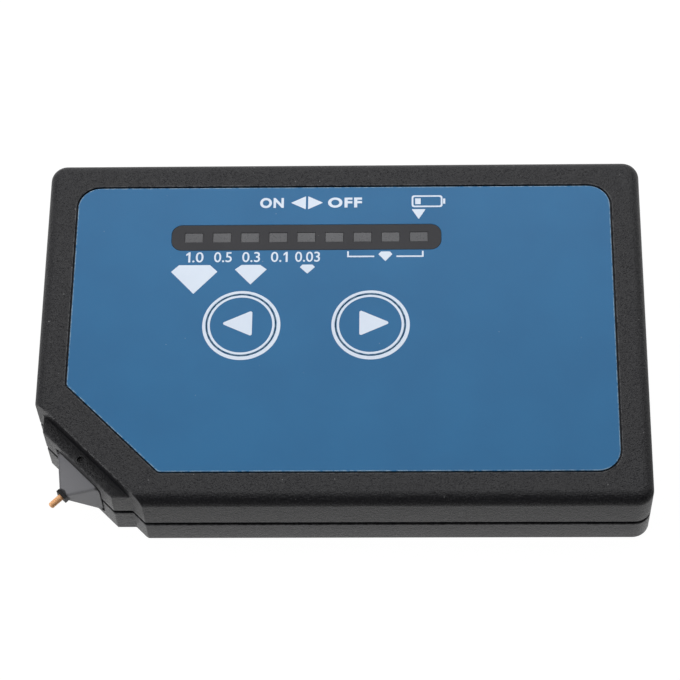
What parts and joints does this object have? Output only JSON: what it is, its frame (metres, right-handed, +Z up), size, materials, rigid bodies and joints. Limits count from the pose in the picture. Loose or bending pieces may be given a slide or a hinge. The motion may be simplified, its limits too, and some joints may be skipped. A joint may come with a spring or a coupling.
{
  "type": "diamond tester",
  "caption": "Flat pocket thermal tester: split black case with a cut corner, sprung copper probe, blue face with a lamp row and arrow keys, sliding battery door.",
  "frame": {"origin": "middle of the underside, on the surface that it lies on", "axes": "+X along the case to the right, +Y to the rear, +Z up out of the printed face"},
  "size_m": [0.1078, 0.0686, 0.0157],
  "materials": {
    "case_black": "fine-grained satin black",
    "panel_blue": "printed satin film",
    "bar_dark": "smoked satin film",
    "lens_grey": "milky grey",
    "emitter": "clear moulded",
    "switch_black": "moulded",
    "plunger_cream": "moulded",
    "board_green": "lacquered board",
    "chip_black": "moulded",
    "can_blue": "sleeved can",
    "nose_grey": "satin grey",
    "collar_black": "satin black",
    "copper": "bare copper",
    "ceramic": "glazed ceramic",
    "spring_steel": "drawn wire",
    "cell_jacket": "printed jacket",
    "contact_nickel": "nickel plated",
    "lead_red": "soft insulation",
    "lead_black": "soft insulation",
    "screw_zinc": "zinc plated"
  },
  "bodies": {
    "case": {"top_shell": "case_black", "bottom_shell": "case_black", "face_panel": "panel_blue", "lamp_bar": "bar_dark", "lens_strip": "lens_grey", "lamps": "emitter", "left_switch": "switch_black", "right_switch": "switch_black", "circuit_board": "board_green", "board_screws": "screw_zinc", "control_chip": "chip_black", "amplifier_chip": "chip_black", "sounder": "switch_black", "capacitors": "can_blue", "resistors": "chip_black", "probe_nose": "nose_grey", "probe_collar": "collar_black", "probe_spring": "spring_steel", "probe_plug": "collar_black", "probe_leads": "lead_red", "cells": "cell_jacket", "cell_springs": "spring_steel", "front_contacts": "contact_nickel", "rear_contacts": "contact_nickel", "red_lead": "lead_red", "black_lead": "lead_black", "case_screws": "screw_zinc"},
    "left_button": {"left_key": "panel_blue", "left_plunger": "plunger_cream"},
    "right_button": {"right_key": "panel_blue", "right_plunger": "plunger_cream"},
    "probe": {"probe_tip": "copper", "probe_bead": "ceramic"},
    "door": {"battery_door": "case_black"}
  },
  "joints": [
    {"name": "left_key_press", "type": "slide", "parent": "case", "child": "left_button", "axis": [0, 0, -1], "range_m": [0, 0.0004], "stiffness_N_per_m": 1500},
    {"name": "right_key_press", "type": "slide", "parent": "case", "child": "right_button", "axis": [0, 0, -1], "range_m": [0, 0.0004], "stiffness_N_per_m": 1500},
    {"name": "probe_press", "type": "slide", "parent": "case", "child": "probe", "axis": [0.7071, 0.7071, 0], "range_m": [0, 0.0016], "stiffness_N_per_m": 400, "deforming": ["probe_spring"]},
    {"name": "door_slide", "type": "slide", "parent": "case", "child": "door", "axis": [1, 0, 0], "range_m": [0, 0.034]}
  ]
}
